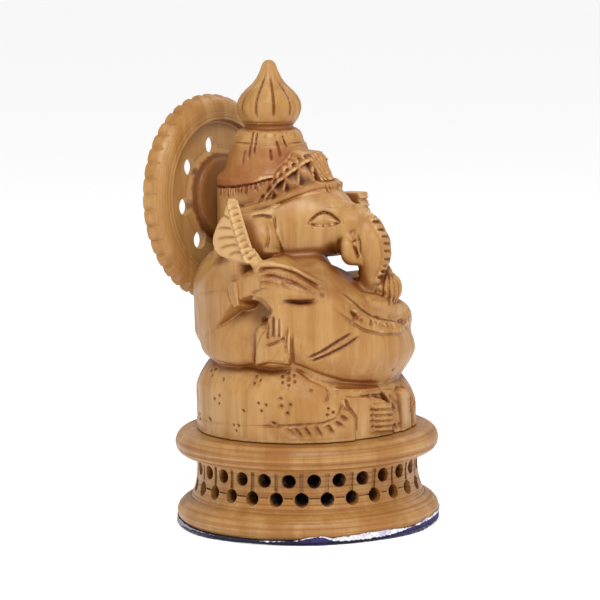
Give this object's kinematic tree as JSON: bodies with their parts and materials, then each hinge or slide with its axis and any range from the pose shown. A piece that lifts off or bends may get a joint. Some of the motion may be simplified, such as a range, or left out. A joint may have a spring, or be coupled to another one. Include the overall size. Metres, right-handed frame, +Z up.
{
  "type": "ganesha figure",
  "caption": "Seated elephant-headed figure carved in light wood, with a pierced halo behind its crown, on a turned, pierced round plinth with a felt-covered foot.",
  "frame": {"origin": "centre of the pad's underside, the face that the figure stands on", "axes": "+Z up; the figure faces -Y; +X is towards the figure's own left hand"},
  "size_m": [0.0874, 0.0876, 0.1524],
  "materials": {
    "carved_wood": "knife-carved light wood with a satin polish",
    "turned_wood": "lathe-turned light wood with fine turning lines and a satin polish",
    "felt_card": "blue felt paper with a torn white edge"
  },
  "bodies": {
    "root": {"figure": "carved_wood", "halo": "turned_wood", "plinth": "turned_wood", "base_pad": "felt_card"}
  },
  "joints": []
}
